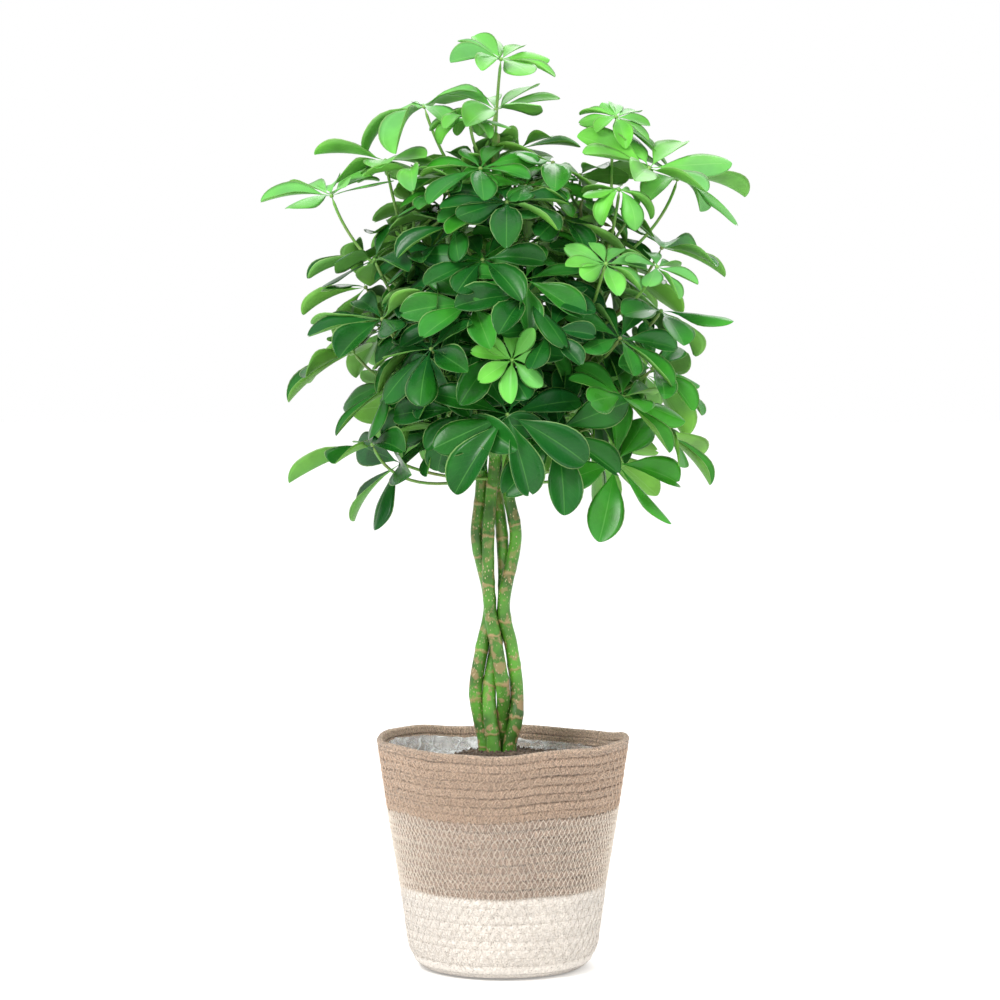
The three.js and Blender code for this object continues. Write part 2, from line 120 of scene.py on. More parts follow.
# x, y, z of the hub, facing, tilt from upright, leaflet length, leaflets, roll, droop.
LEAVES = {
    "crown": [
        [-2, -6, 863, 285, 26, 62, 9, 10, 22],
        [-7, 2, 816, 300, 12, 78, 7, 5, 30],
        [-75, 14, 820, 205, 18, 78, 7, 28, 42],
        [-31, -24, 805, 270, 14, 44, 6, 30, 78],
        [-112, 12, 769, 170, 10, 74, 8, 0, 24],
        [-86, -22, 759, 250, 12, 64, 7, 20, 30],
        [-162, -12, 734, 215, 20, 76, 7, 20, 34],
        [107, -2, 809, 285, 30, 44, 9, 0, 26],
        [137, -30, 759, 290, 32, 84, 7, 25, 14],
        [166, 12, 751, 20, 16, 88, 7, 12, 36],
        [74, 40, 757, 120, 8, 88, 7, 10, 26],
        [17, 44, 783, 60, 12, 62, 6, 0, 24],
        [108, -58, 737, 290, 18, 48, 7, 14, 60],
        [21, -44, 741, 285, 24, 62, 6, 30, 20],
    ],
    "front": [
        [-9, -64, 713, 262, 34, 68, 7, 26, 30],
        [20, -98, 653, 275, 48, 70, 7, 0, 14],
        [-28, -104, 631, 258, 52, 72, 7, 24, 16],
        [-66, -102, 589, 246, 60, 72, 8, 10, 20],
        [42, -118, 605, 276, 46, 58, 6, 30, 18],
        [8, -126, 579, 268, 74, 44, 8, 0, 26],
        [4, -122, 529, 268, 62, 90, 8, 18, 26],
        [48, -100, 515, 296, 74, 86, 7, 0, 30],
        [-38, -96, 533, 248, 76, 82, 7, 12, 30],
        [94, -100, 667, 290, 40, 50, 8, 0, 20],
    ],
    "left": [
        [-112, -72, 617, 222, 34, 78, 8, 14, 20],
        [-121, -30, 673, 192, 24, 76, 7, 0, 26],
        [-122, -58, 500, 192, 22, 90, 7, 0, 24],
        [-96, -30, 482, 200, 66, 88, 6, 20, 24],
        [-106, -48, 557, 214, 44, 76, 7, 26, 26],
        [-143, 12, 587, 176, 36, 80, 7, 0, 26],
        [-132, 34, 649, 160, 30, 76, 7, 20, 26],
    ],
    "right": [
        [142, -78, 665, 306, 36, 48, 7, 0, 24],
        [150, -12, 685, 350, 26, 78, 7, 16, 24],
        [148, -40, 625, 338, 32, 78, 7, 0, 26],
        [108, -76, 599, 308, 44, 68, 7, 26, 20],
        [139, -58, 571, 322, 46, 66, 7, 8, 24],
        [110, -92, 545, 304, 40, 74, 8, 18, 18],
        [144, -18, 513, 350, 40, 86, 6, 0, 28],
        [104, -66, 483, 308, 66, 86, 7, 20, 28],
    ],
    "back": [
        [-64, 105, 709, 116, 24, 76, 7, 0, 28],
        [37, 112, 703, 78, 26, 76, 8, 10, 28],
        [114, 85, 669, 38, 32, 78, 7, 20, 26],
        [-114, 105, 611, 140, 40, 78, 8, 0, 26],
        [-31, 149, 627, 100, 42, 76, 7, 20, 24],
        [66, 142, 609, 64, 44, 80, 8, 8, 26],
        [139, 71, 565, 28, 50, 82, 7, 0, 26],
        [-77, 127, 537, 126, 54, 84, 7, 16, 28],
        [15, 137, 531, 86, 58, 84, 8, 0, 28],
        [92, 100, 495, 46, 62, 84, 7, 22, 28],
    ],
}

# Lift and swing in degrees, and share of its length, that a leaflet may take.
LEAFLET_POSES = [
    [0, 0, 1], [8, 0, 1], [-8, 0, 1], [0, 6, 1], [0, -6, 1], [16, 0, 1], [-16, 0, 1],
    [8, 8, 0.95], [8, -8, 0.95], [-8, 8, 0.95], [-8, -8, 0.95], [24, 0, 0.92], [-24, 0, 0.92],
    [0, 0, 0.84], [16, 12, 0.86], [16, -12, 0.86], [-16, 12, 0.86], [-16, -12, 0.86],
    [32, 0, 0.84], [-32, 0, 0.84], [0, 12, 0.74], [0, -12, 0.74], [40, 0, 0.76], [-40, 0, 0.76],
]


# ---- settings ------------------------------------------------------------------------------------
def colour(name, description, default):
    return FloatVectorProperty(name=name, description=description, default=default, size=3,
                               min=0, max=1, subtype="COLOR")


def length(name, description, default):
    return FloatProperty(name=name, description=description, default=default, min=0,
                         unit="LENGTH", subtype="DISTANCE")


class BasketSettings(bpy.types.PropertyGroup):
    row_pitch: length("Row pitch", "Height of one row of braid", 0.0082)
    strand_wave: length("Strand wave", "How far a strand swings across its row", 0.0025)
    strand_half: length("Strand half width", "Half the width of one strand", 0.0024)
    crossings: length("Crossing length", "Length of one full turn of the braid", 0.0085)
    thread: length("Thread radius", "Radius of the sewing thread", 0.00046)
    sag: length("Rim sag", "How far the rim rises and dips", 0.0024)
    natural: colour("Natural jute", "Colour of the bare jute", (0.60, 0.44, 0.325))
    stitched: colour("Stitched jute", "Colour of the jute under the white thread",
                     (0.59, 0.45, 0.355))
    white: colour("White jute", "Colour of the white braid", (0.80, 0.735, 0.665))
    thread_white: colour("White thread", "Colour of the pale sewing thread", (0.86, 0.76, 0.65))


class PlantSettings(bpy.types.PropertyGroup):
    leaf_thickness: length("Leaf thickness", "Thickness of a leaflet at its midrib", 0.0007)
    stalk: length("Stalk radius", "Radius of a leaf stalk", 0.0015)
    inner_leaves: IntProperty(name="Inner leaves", description="Shaded leaves inside the crown",
                              default=64, min=0, max=80)
    old_top: colour("Old leaf", "Upper side of an old leaf", (0.010, 0.112, 0.008))
    middle_top: colour("Grown leaf", "Upper side of a grown leaf", (0.038, 0.26, 0.015))
    old_under: colour("Old leaf underside", "Lower side of an old leaf", (0.14, 0.37, 0.045))
    young_top: colour("Young leaf", "Upper side of a young leaf", (0.125, 0.455, 0.048))
    young_under: colour("Young leaf underside", "Lower side of a young leaf", (0.15, 0.44, 0.06))
    margin: colour("Leaf margin", "Pale line along a leaflet's edge", (0.36, 0.62, 0.20))
    stem: colour("Stem", "Green of the smooth stems", (0.075, 0.25, 0.018))
    scar: colour("Leaf scar", "Tan of the scars on the stems", (0.42, 0.27, 0.13))


class StageSettings(bpy.types.PropertyGroup):
    lens: FloatProperty(name="Lens", description="Focal length of the camera", default=109.7, min=1,
                        unit="CAMERA")
    height: length("Camera height", "Height of the camera above the floor", 0.57)
    distance: length("Camera distance", "Distance from the camera to the stems", 2.9)
    floor: colour("Floor", "Colour of the floor", (0.93, 0.93, 0.92))


# ---- making meshes -------------------------------------------------------------------------------
def sheet(bm, across, along, place, uv, material=0):
    """Adds a grid whose vertices go where place(s, t) says, with s and t from 0 to 1."""
    layer = bm.loops.layers.uv.verify()
    made = bmesh.ops.create_grid(bm, x_segments=across, y_segments=along, size=0.5)["verts"]
    share = {v: (v.co.x + 0.5, v.co.y + 0.5) for v in made}
    for face in {f for v in made for f in v.link_faces}:
        face.material_index = material
        face.smooth = True
        for loop in face.loops:
            loop[layer].uv = uv(*share[loop.vert])
    for v in made:
        v.co = Vector(place(*share[v])) * MM
    return made


def finish_piece(name, bm, materials, nodes=(), merge=1e-6):
    bmesh.ops.remove_doubles(bm, verts=bm.verts, dist=merge)
    bmesh.ops.dissolve_degenerate(bm, edges=bm.edges, dist=1e-7)
    bmesh.ops.recalc_face_normals(bm, faces=bm.faces)
    mesh = bpy.data.meshes.new(name)
    bm.to_mesh(mesh)
    bm.free()
    for material in materials:
        mesh.materials.append(material)
    piece = bpy.data.objects.new(name, mesh)
    bpy.context.scene.collection.objects.link(piece)
    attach(piece, "root")
    if nodes:
        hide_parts(*nodes)
    return piece


def rod(bm, points, radii, sides, material, lengths):
    """A closed round rod through points, with one radius at each; its ends close to a point."""
    count = len(points)
    frames = []
    side = Vector((1, 0, 0))
    for i in range(count):
        tangent = (points[min(i + 1, count - 1)] - points[max(i - 1, 0)]).normalized()
        side = (side - tangent * side.dot(tangent)).normalized()
        frames.append((side.copy(), tangent.cross(side)))

    def place(s, t):
        i = round(t * (count - 1))
        turn = 2 * pi * s
        radius = 0 if i in (0, count - 1) else radii[i]
        return points[i] + (frames[i][0] * cos(turn) + frames[i][1] * sin(turn)) * radius

    def uv(s, t):
        return s, lengths[round(t * (count - 1))]

    sheet(bm, sides, count - 1, place, uv, material)


# ---- making materials ----------------------------------------------------------------------------
class Nodes:
    """A few words for laying out a material's nodes."""

    def __init__(self, name, roughness, **sockets):
        self.material = bpy.data.materials.new(name)
        self.material.use_nodes = True
        self.tree = self.material.node_tree
        self.shader = self.tree.nodes["Principled BSDF"]
        self.shader.inputs["Roughness"].default_value = roughness
        for socket, value in sockets.items():
            self.shader.inputs[socket.replace("_", " ")].default_value = value

    def add(self, kind, **inputs):
        node = self.tree.nodes.new(kind)
        for key, value in inputs.items():
            self.put(node, key.replace("_", " "), value)
        return node

    def put(self, node, key, value):
        socket = node.inputs[key]
        if isinstance(value, bpy.types.NodeSocket):
            self.tree.links.new(value, socket)
        else:
            socket.default_value = value

    def place(self):
        return self.add("ShaderNodeTexCoord").outputs["Object"]

    def noise(self, vector, scale, detail=3.0):
        node = self.add("ShaderNodeTexNoise", Vector=vector, Scale=scale, Detail=detail)
        return node.outputs["Fac"]

    def math(self, operation, first, second=0.0):
        node = self.add("ShaderNodeMath")
        node.operation = operation
        self.put(node, 0, first)
        self.put(node, 1, second)
        return node.outputs[0]

    def ramp(self, factor, low, high, dark=0.0, light=1.0):
        node = self.add("ShaderNodeMapRange", Value=factor)
        ends = (("From Min", low), ("From Max", high), ("To Min", dark), ("To Max", light))
        for key, value in ends:
            node.inputs[key].default_value = value
        return node.outputs[0]

    def mix(self, factor, first, second):
        node = self.add("ShaderNodeMix")
        node.data_type = "RGBA"
        self.put(node, 0, factor)
        self.put(node, 6, first if isinstance(first, bpy.types.NodeSocket) else (*first, 1))
        self.put(node, 7, second if isinstance(second, bpy.types.NodeSocket) else (*second, 1))
        return node.outputs[2]

    def finish(self, base, height=None, strength=0.3, distance=0.001, roughness=None):
        self.put(self.shader, "Base Color", base)
        if roughness is not None:
            self.put(self.shader, "Roughness", roughness)
        if height is not None:
            bump = self.add("ShaderNodeBump", Height=height, Strength=strength, Distance=distance)
            self.put(self.shader, "Normal", bump.outputs[0])
        return self.material


def shade(tint, factor):
    return tuple(min(1, c * factor) for c in tint)


def braid_material(name, tint, depth, speck, speck_and_gap_share, speck_and_gap_from):
    """Jute: fibres along each strand, uneven colour, and dark specks in the hollows, partly the jute's
    own dark bits and partly painted shade in the small gaps of the braid.
    """
    nodes = Nodes(name, 0.9, Sheen_Weight=0.25)
    place = nodes.place()
    along = nodes.add("ShaderNodeUVMap").outputs[0]
    stretched = nodes.add("ShaderNodeMapping", Vector=along)
    stretched.inputs["Scale"].default_value = (0.35, 7, 1)
    fibre = nodes.noise(stretched.outputs[0], 1.6, 4)
    blotch = nodes.noise(place, 22)
    grain_and_gap_noise = nodes.noise(place, 620, 2)
    dark, light = shade(tint, 1 - depth), shade(tint, 1 + 0.75 * depth)
    base = nodes.mix(nodes.ramp(fibre, 0.34, 0.66), dark, light)
    base = nodes.mix(nodes.ramp(blotch, 0.42, 0.66, 0, 0.4), base, shade(tint, 0.8))
    # Dark specks: partly the jute's own dark bits, partly painted shade in the small gaps of the braid.
    base = nodes.mix(nodes.ramp(grain_and_gap_noise, speck_and_gap_from, speck_and_gap_from + 0.07, 0, speck_and_gap_share), base, speck)
    return nodes.finish(base, nodes.math("ADD", fibre, grain_and_gap_noise), 1.0, 0.0016)


def thread_material(name, tint):
    nodes = Nodes(name, 0.8, Sheen_Weight=0.2)
    twist = nodes.noise(nodes.place(), 900, 2)
    return nodes.finish(nodes.mix(twist, shade(tint, 0.75), shade(tint, 1.12)), twist, 0.3, 0.0003)


def leaf_material(name, tint, vein, margin, gloss, blue):
    """A leaflet: pale midrib and side veins, a thin pale margin and a soft bluish cast."""
    nodes = Nodes(name, gloss, IOR=1.45, Specular_IOR_Level=0.3)
    place = nodes.place()
    parts = nodes.add("ShaderNodeSeparateXYZ", Vector=nodes.add("ShaderNodeUVMap").outputs[0])
    along, across = parts.outputs[0], parts.outputs[1]
    off = nodes.math("ABSOLUTE", nodes.math("SUBTRACT", across, 0.5))
    midrib = nodes.ramp(off, 0.008, 0.024, 1, 0)
    edge = nodes.ramp(off, 0.468, 0.486)
    pairs = nodes.math("MULTIPLY", along, 13)
    slant = nodes.math("SUBTRACT", pairs, nodes.math("MULTIPLY", off, 6))
    rung = nodes.math("ABSOLUTE", nodes.math("SUBTRACT", nodes.math("FRACT", slant), 0.5))
    side_vein = nodes.ramp(rung, 0.02, 0.09, 0.05, 0)
    cloud = nodes.noise(place, 26)
    base = nodes.mix(nodes.ramp(cloud, 0.3, 0.7), shade(tint, 0.65), shade(tint, 1.35))
    base = nodes.mix(nodes.ramp(nodes.noise(place, 9), 0.42, 0.62, 0, 0.65), base, blue)
    base = nodes.mix(side_vein, base, vein)
    base = nodes.mix(nodes.math("MULTIPLY", midrib, 0.4), base, vein)
    base = nodes.mix(nodes.math("MULTIPLY", edge, 0.62), base, margin)
    height = nodes.math("SUBTRACT", nodes.noise(place, 240), nodes.math("ADD", midrib, side_vein))
    rough = nodes.ramp(cloud, 0.3, 0.7, gloss - 0.05, gloss + 0.12)
    return nodes.finish(base, height, 0.18, 0.0006, rough)


def stalk_material(name, tint, tan):
    nodes = Nodes(name, 0.42)
    place = nodes.place()
    base = nodes.mix(nodes.ramp(nodes.noise(place, 60), 0.35, 0.7), tint, tan)
    return nodes.finish(base, nodes.noise(place, 500), 0.2, 0.0004)


def bark_material(settings):
    """Green bark: a tan ring scar at each old leaf, pale specks, and brown near the soil."""
    nodes = Nodes("bark", 0.45)
    place = nodes.place()
    mapped = nodes.add("ShaderNodeSeparateXYZ", Vector=nodes.add("ShaderNodeUVMap").outputs[0])
    height = nodes.add("ShaderNodeSeparateXYZ", Vector=place).outputs[2]
    wobble = nodes.math("MULTIPLY", nodes.noise(place, 85), 0.3)
    ring = nodes.math("FRACT", nodes.math("ADD", mapped.outputs[1], wobble))
    scar = nodes.ramp(nodes.math("ABSOLUTE", nodes.math("SUBTRACT", ring, 0.5)), 0.012, 0.05, 1, 0)
    patch = nodes.ramp(nodes.noise(place, 95, 6), 0.54, 0.6)
    low = nodes.ramp(height, 0.20, 0.40, 0.95, 0.45)
    tall = nodes.add("ShaderNodeMapping", Vector=place)
    tall.inputs["Scale"].default_value = (1, 1, 0.55)
    cells = nodes.add("ShaderNodeTexVoronoi", Vector=tall.outputs[0], Scale=390.0)
    crowd = nodes.ramp(nodes.noise(place, 42), 0.4, 0.6, 0.35, 1)
    dot = nodes.ramp(cells.outputs["Distance"], 0.16, 0.26, 0.9, 0)
    speck = nodes.math("MULTIPLY", dot, crowd)
    tint = tuple(settings.stem)
    cloud = nodes.ramp(nodes.noise(place, 30), 0.36, 0.64)
    base = nodes.mix(cloud, shade(tint, 0.42), shade(tint, 1.35))
    base = nodes.mix(nodes.math("MULTIPLY", patch, low), base, shade(settings.scar, 0.8))
    fewer = nodes.ramp(height, 0.5, 0.62, 1, 0.1)
    base = nodes.mix(nodes.math("MULTIPLY", speck, fewer), base, (0.55, 0.47, 0.26))
    fainter = nodes.ramp(height, 0.55, 0.7, 0.62, 0.15)
    base = nodes.mix(nodes.math("MULTIPLY", scar, fainter), base, tuple(settings.scar))
    relief = nodes.math("ADD", speck, nodes.noise(place, 300))
    return nodes.finish(base, nodes.math("ADD", scar, relief), 0.4)


def soil_material():
    nodes = Nodes("soil", 0.95)
    place = nodes.place()
    clod = nodes.noise(place, 160, 5)
    base = nodes.mix(nodes.ramp(clod, 0.3, 0.7), (0.03, 0.02, 0.014), (0.17, 0.12, 0.085))
    base = nodes.mix(nodes.ramp(nodes.noise(place, 420), 0.66, 0.72), base, (0.42, 0.36, 0.29))
    return nodes.finish(base, clod, 0.8, 0.002)


def film_material():
    """Clear film: cloudy patches that are partly haze and partly painted glints, painted glints as pale
    lines along sharp folds, and a painted highlight that makes it whiter on the lit left and clearer on
    the right.
    """
    nodes = Nodes("film", 0.1, IOR=1.45, Coat_Weight=0.6, Coat_Roughness=0.08)
    place = nodes.place()
    crease = nodes.noise(place, 45, 5)
    shift = nodes.add("ShaderNodeCombineXYZ", X=nodes.math("MULTIPLY", crease, 0.05))
    bent = nodes.add("ShaderNodeVectorMath", Vector=place)
    nodes.put(bent, 1, shift.outputs[0])
    facets = nodes.add("ShaderNodeTexVoronoi", Vector=bent.outputs[0], Scale=55.0)
    facets.feature = "DISTANCE_TO_EDGE"
    # Painted glints: pale, more opaque lines along the edges of the fold cells.
    fold_glints = nodes.ramp(facets.outputs["Distance"], 0, 0.07, 0.42, 0)
    to_the_right = nodes.add("ShaderNodeSeparateXYZ", Vector=place).outputs[0]
    # Painted highlight: the film is more opaque and so whiter on the lit left side than on the right.
    left_glint_share = nodes.ramp(to_the_right, -0.02, 0.05, 1, 0.4)
    # The crease noise gives partly real haze and partly painted glints, added to the painted fold
    # glints.
    haze_and_glints = nodes.math("ADD", nodes.ramp(crease, 0.35, 0.65, 0.14, 0.36), fold_glints)
    nodes.put(nodes.shader, "Alpha", nodes.math("MULTIPLY", haze_and_glints, left_glint_share))
    tint = nodes.mix(crease, (0.86, 0.87, 0.88), (0.97, 0.97, 0.98))
    return nodes.finish(tint, nodes.math("ADD", crease, fold_glints), 0.8, 0.003)


# ---- basket --------------------------------------------------------------------------------------
def path_point(travel):
    """The place on the braid's path after that many millimetres: radius, height and direction."""
    for (r0, z0), (r1, z1) in zip(BRAID_PATH, BRAID_PATH[1:]):
        step = hypot(r1 - r0, z1 - z0)
        if travel <= step:
            break
        travel -= step
    along = ((r1 - r0) / step, (z1 - z0) / step)
    return r0 + along[0] * travel, z0 + along[1] * travel, along


def path_length():
    return sum(hypot(r1 - r0, z1 - z0) for (r0, z0), (r1, z1) in zip(BRAID_PATH, BRAID_PATH[1:]))


def rise(turn, height, sag):
    """How far the basket's hand-sewn rows rise and dip at that angle."""
    share = max(0, height - 20) / 190
    even = sin(2 * turn + 2.4) + 0.5 * sin(5 * turn + 1) + 0.25 * sin(9 * turn)
    loose = noise.noise((cos(turn) * 2.5, sin(turn) * 2.5, height / 14))
    return sag * share * even + 1.1 * min(1, height / 40) * loose


def lay_row(bm, travel, settings, row, material, filled):
    """One row: three strands that pass over and under each other, round a core of that size."""
    radius, height, along = path_point(travel)
    wave, half, sag = settings.strand_wave / MM, settings.strand_half / MM, settings.sag / MM
    turns = max(3, round(2 * pi * radius / (settings.crossings / MM)))
    steps = turns * 6
    for strand in range(STRANDS):
        phase = 2 * pi * strand / STRANDS + row * 1.7

        def place(s, t):
            turn = 2 * pi * s
            swing = turns * turn + phase
            around = 2 * pi * t
            jitter = 0.25 * noise.noise((cos(turn) * 9, sin(turn) * 9, row * STRANDS + strand))
            u = wave * sin(swing) + half * cos(around) + jitter
            n = 1.6 * sin(2 * swing) + 0.72 * half * sin(around)
            r = radius + along[0] * u + along[1] * n
            z = height + along[1] * u - along[0] * n + rise(turn, height, sag)
            return cos(turn) * r, sin(turn) * r, z

        sheet(bm, steps, 5, place, lambda s, t: (s * turns * 6, t), material)

    def core(s, t):
        turn, around = 2 * pi * s, 2 * pi * t
        u, n = filled[0] * cos(around), filled[1] * sin(around)
        r = radius + along[0] * u + along[1] * n
        z = height + along[1] * u - along[0] * n + rise(turn, height, sag)
        return cos(turn) * max(0, r), sin(turn) * max(0, r), max(2.2, z)

    sheet(bm, 96, 6, core, lambda s, t: (s * turns * 6, t), material)


def sew_row(bm, travel, settings, row, material, reach, pass_no):
    """The zigzag of thread that ties a row to the one below it."""
    radius, height, along = path_point(travel)
    thin, sag, half = settings.thread / MM, settings.sag / MM, settings.row_pitch / MM * reach
    teeth = round(2 * pi * radius / THREAD_PITCH)

    def place(s, t):
        turn = 2 * pi * s
        cycle = (teeth * s + 0.5 * row + 0.5 * pass_no) % 1
        tooth = 4 * abs(cycle - 0.5) - 1
        spot = cos(turn) * 30, sin(turn) * 30, row + 9 * pass_no
        uneven = 1 + 0.5 * noise.noise(spot)
        turn += 0.016 * noise.noise((spot[1], spot[0], spot[2])) * (s < 1) * (s > 0)
        around = 2 * pi * t
        u = half * tooth * uneven + thin * cos(around)
        n = 3.0 - 0.4 * abs(tooth) + thin * sin(around)
        r = radius + along[0] * u + along[1] * n
        z = height + along[1] * u - along[0] * n + rise(turn, height, sag)
        return cos(turn) * r, sin(turn) * r, z

    sheet(bm, teeth * 4, 4, place, lambda s, t: (s * teeth, t), material)


class UMBRELLA_OT_basket(bpy.types.Operator):
    """Lays the braid of the basket row by row and sews it"""
    bl_idname = "umbrella.basket"
    bl_label = "Basket"

    def execute(self, context):
        settings = context.scene.umbrella_basket
        pitch = settings.row_pitch / MM
        natural, stitched = tuple(settings.natural), tuple(settings.stitched)
        white = tuple(settings.white)
        finishes = {
            "natural": [
                braid_material("natural_jute", natural, 0.52, shade(natural, 0.28), 0.55, 0.57),
                thread_material("natural_thread", shade(natural, 1.1)),
            ],
            "stitched": [
                braid_material("stitched_jute", stitched, 0.5, shade(stitched, 0.28), 0.5, 0.57),
                thread_material("white_thread", tuple(settings.thread_white)),
            ],
            "white": [
                braid_material("white_jute", white, 0.2, (0.26, 0.22, 0.18), 0.8, 0.63),
                thread_material("offwhite_thread", shade(white, 1.03)),
            ],
        }
        bands = {
            "basket_base_braid": ("basket_base", "white", "white_braid"),
            "basket_white_braid": ("basket_white_band", "white", "white_braid"),
            "basket_stitched_braid": ("basket_stitched_band", "stitched", "stitched_braid"),
            "basket_natural_braid": ("basket_natural_band", "natural", "natural_braid"),
            "basket_rim_braid": ("basket_rim", "natural", "natural_braid"),
        }
        meshes = {name: bmesh.new() for name in bands}
        rows = floor(path_length() / pitch)
        for row in range(rows):
            travel = (row + 0.5) * path_length() / rows
            radius, height, along = path_point(travel)
            if radius < BASE_RADIUS and height < BASE_HEIGHT:
                name = "basket_base_braid"
            elif height < WHITE_TOP:
                name = "basket_white_braid"
            elif height < STITCHED_TOP:
                name = "basket_stitched_braid"
            elif row < rows - 1:
                name = "basket_natural_braid"
            else:
                name = "basket_rim_braid"
            core = (6.4, 2.8) if bands[name][1] == "white" else (4.6, 1.3)
            lay_row(meshes[name], travel, settings, row, 0, core)
            if height > SEWN_FROM and row < rows - 1:
                passes = (0.62, 0.72) if name == "basket_stitched_braid" else (0.55,)
                for pass_no, reach in enumerate(passes):
                    sew_row(meshes[name], travel, settings, row, 1, reach, pass_no)
        for name, (node, finish, slot) in bands.items():
            finish_piece(name, meshes[name], finishes[finish], [node], 2e-6)
        return {"FINISHED"}


class UMBRELLA_OT_soil(bpy.types.Operator):
    """Heaps the crumbly soil and lays the crinkled film round it"""
    bl_idname = "umbrella.soil"
    bl_label = "Soil and film"

    def execute(self, context):
        # Without a seed, the vector noise takes its offsets from the clock.
        noise.seed_set(NOISE_SEED)
        ground = bmesh.new()

        def surface(x, y):
            top = SOIL_TOP - SOIL_STEP / (1 + exp(-(hypot(x, y) - SOIL_MOUND) / SOIL_SLOPE))
            return top + 2.6 * noise.fractal((x / 11, y / 11, 3), 1, 2, 4)

        def heap(s, t):
            """The heap's top out to the wall, then a flat underside back to the middle."""
            turn = 2 * pi * s
            radius = SOIL_RADIUS * t / 0.8 if t <= 0.8 else 97 * (1 - (t - 0.8) / 0.2)
            x, y = cos(turn) * radius, sin(turn) * radius
            return x, y, surface(x, y) if t <= 0.8 else 150

        sheet(ground, 128, 50, heap, lambda s, t: (s, t))
        for i in range(CLUMPS):
            turn, radius = i * GOLDEN * 2 * pi, 6 + 90 * (i / CLUMPS) ** 0.6
            x, y = cos(turn) * radius, sin(turn) * radius
            spot = Matrix.Translation(Vector((x, y, surface(x, y) + 0.2)) * MM)
            size = (0.7 + 1.5 * ((i * 0.37) % 1) ** 2) * MM
            clump = bmesh.ops.create_icosphere(ground, subdivisions=1, radius=size, matrix=spot)
            for v in clump["verts"]:
                v.co += noise.noise_vector(v.co * 700) * size * 0.45
        finish_piece("soil_heap", ground, [soil_material()], ["soil"])

        wrap = bmesh.new()

        def lay(s, t):
            """Down the wall and in over the soil, then back along the film's underside."""
            turn = 2 * pi * s
            back = t > 0.5
            share = 2 * t if not back else 2 - 2 * t
            drop = min(1, share / 0.45)
            inward = max(0, share - 0.45) / 0.55
            reach = 32 - 20 * cos(turn)
            edge = 206.5 - 4.5 * cos(turn)
            radius = FILM_RADIUS - 5 * drop - reach * inward
            height = edge - (edge - FILM_FLOOR) * drop + rise(turn, 200, 1.6) * (1 - drop)
            spot = cos(turn) * radius / 7, sin(turn) * radius / 7, height / 6
            crinkle = noise.noise_vector(spot)
            radius -= 1.6 + 1.6 * crinkle.x
            gauge = 0.35 if back and 0 < share < 1 else 0
            height += 3.2 * inward + (1.2 + 3.6 * inward) * crinkle.z - gauge
            radius += gauge if inward == 0 else 0
            return cos(turn) * radius, sin(turn) * radius, height

        sheet(wrap, 240, 48, lay, lambda s, t: (s, t))
        for face in wrap.faces:
            face.smooth = False
        finish_piece("film_wrap", wrap, [film_material()], ["film_liner"])
        return {"FINISHED"}


# ---- stems ---------------------------------------------------------------------------------------
class Route:
    """A smooth curve through a stem's points, spaced by the root of their distances."""

    def __init__(self, points):
        self.points = [Vector(p) for p in points]

    def at(self, share):
        points = self.points
        last = len(points) - 1
        travel = last * min(1.0, max(0.0, share))
        i = min(int(travel), last - 1)
        weight = travel - i
        before = points[i - 1] if i > 0 else points[0] * 2 - points[1]
        after = points[i + 2] if i + 2 <= last else points[last] * 2 - points[last - 1]
        p1, p2 = points[i], points[i + 1]
        d0, d1, d2 = ((a - b).length ** 0.5 for a, b in ((before, p1), (p1, p2), (p2, after)))
        t1 = ((p1 - before) / d0 - (p2 - before) / (d0 + d1) + (p2 - p1) / d1) * d1
        t2 = ((p2 - p1) / d1 - (after - p1) / (d1 + d2) + (after - p2) / d2) * d1
        w2, w3 = weight * weight, weight ** 3
        return (p1 + t1 * weight + (p2 * 3 - p1 * 3 - t1 * 2 - t2) * w2
                + (p1 * 2 - p2 * 2 + t1 + t2) * w3)

    def length(self):
        marks = [self.at(i / 200) for i in range(201)]
        return sum((b - a).length for a, b in zip(marks, marks[1:]))


def stem_radius(height):
    return max(SHOOT_TIP_RADIUS, STEM_RADIUS - STEM_THINNING * max(0, height - STEM_START))


def perches():
    """The places along the shoots where a leaf stalk may start."""
    found = []
    for points in (p for routes in STEMS.values() for p in routes):
        route = Route(points)
        count = int(route.length() / PERCH_PITCH)
        found += [route.at(i / count) for i in range(1, count + 1)]
    return [p for p in found if p.z > LOWEST_PERCH]


class UMBRELLA_OT_stems(bpy.types.Operator):
    """Grows the four plaited stems with their shoots"""
    bl_idname = "umbrella.stems"
    bl_label = "Stems"

    def execute(self, context):
        bark = bark_material(context.scene.umbrella_plant)
        for k, (name, routes) in enumerate(STEMS.items()):
            bm = bmesh.new()
            for points in routes:
                route = Route(points)
                count = int(route.length() / 3)
                places, radii, lengths, travel = [], [], [], k * 17
                for i in range(count + 1):
                    spot = route.at(i / count)
                    travel += (spot - places[-1]).length if places else 0
                    lengths.append(travel / SCAR_PITCH)
                    knot = exp(-(((travel / SCAR_PITCH + 0.08) % 1 - 0.5) * SCAR_PITCH / 3.2) ** 2)
                    uneven = 0.25 * noise.noise(spot / 14)
                    radii.append(stem_radius(spot.z) * (0.99 + 0.07 * knot) + uneven)
                    places.append(spot)
                rod(bm, places, radii, 14, 0, lengths)
            finish_piece(name + "_bark", bm, [bark], [name])
        return {"FINISHED"}


# ---- leaves --------------------------------------------------------------------------------------
def spread(k):
    """An even spread of values from 0 to 1, the same at each run."""
    return (k * GOLDEN) % 1


def stray(k):
    """The same spread, from -1 to 1."""
    return 2 * spread(k) - 1


def leaf_axes(facing, tilt):
    lean = Vector((cos(radians(facing)), sin(radians(facing)), 0))
    up = lean * sin(radians(tilt)) + Vector((0, 0, cos(radians(tilt))))
    out = lean * cos(radians(tilt)) - Vector((0, 0, sin(radians(tilt))))
    return up, out, up.cross(out)


